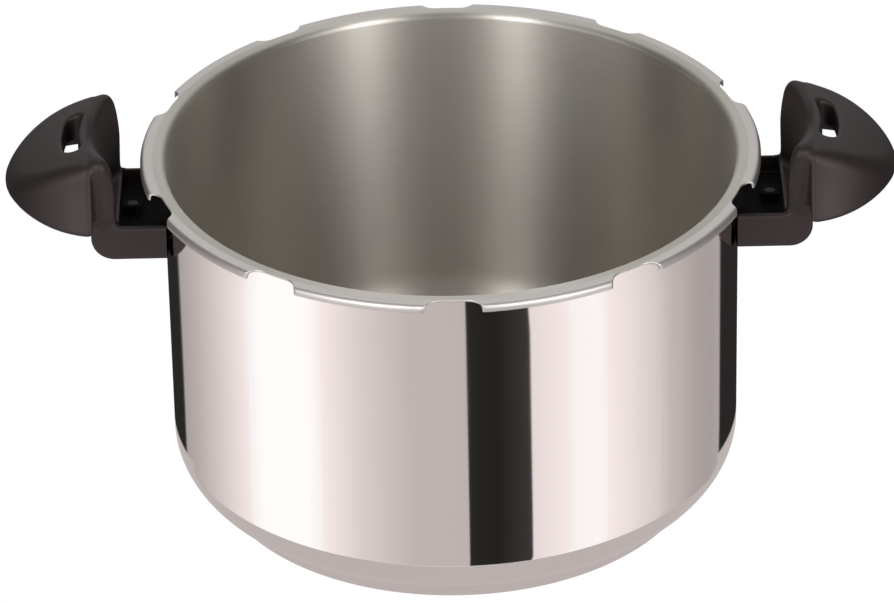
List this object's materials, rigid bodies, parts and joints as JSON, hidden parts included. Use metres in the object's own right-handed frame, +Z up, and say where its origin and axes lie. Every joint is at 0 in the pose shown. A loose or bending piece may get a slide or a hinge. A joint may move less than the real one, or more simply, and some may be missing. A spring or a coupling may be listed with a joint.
{
  "type": "pressure cooker pan",
  "caption": "Tall polished steel pan with a notched rim flange for a clamp-on lid, a capsule base, and hood-shaped black side handles with a slot.",
  "frame": {"origin": "centre of the base's underside, on the surface the pan stands on", "axes": "+X along the two handles, +Y across them, +Z up through the pan's mouth"},
  "size_m": [0.3882, 0.2684, 0.1786],
  "materials": {
    "pot_steel": "mirror-polished outside, satin inside and on the rim flange",
    "base_steel": "satin steel with fine rings underneath",
    "spreader_aluminium": "plain sheet, sealed inside the base",
    "handle_phenolic": "black moulded phenolic, fine satin texture",
    "bracket_steel": "pressed steel with a black finish",
    "fastener_steel": "blackened steel"
  },
  "bodies": {
    "root": {"pot_shell": "pot_steel", "base_cap": "base_steel", "heat_spreader_disc": "spreader_aluminium", "right_handle": "handle_phenolic", "right_bracket": "bracket_steel", "right_weld_nut": "bracket_steel", "right_screw_washer": "fastener_steel", "right_handle_screw": "fastener_steel", "left_handle": "handle_phenolic", "left_bracket": "bracket_steel", "left_weld_nut": "bracket_steel", "left_screw_washer": "fastener_steel", "left_handle_screw": "fastener_steel"}
  },
  "joints": []
}
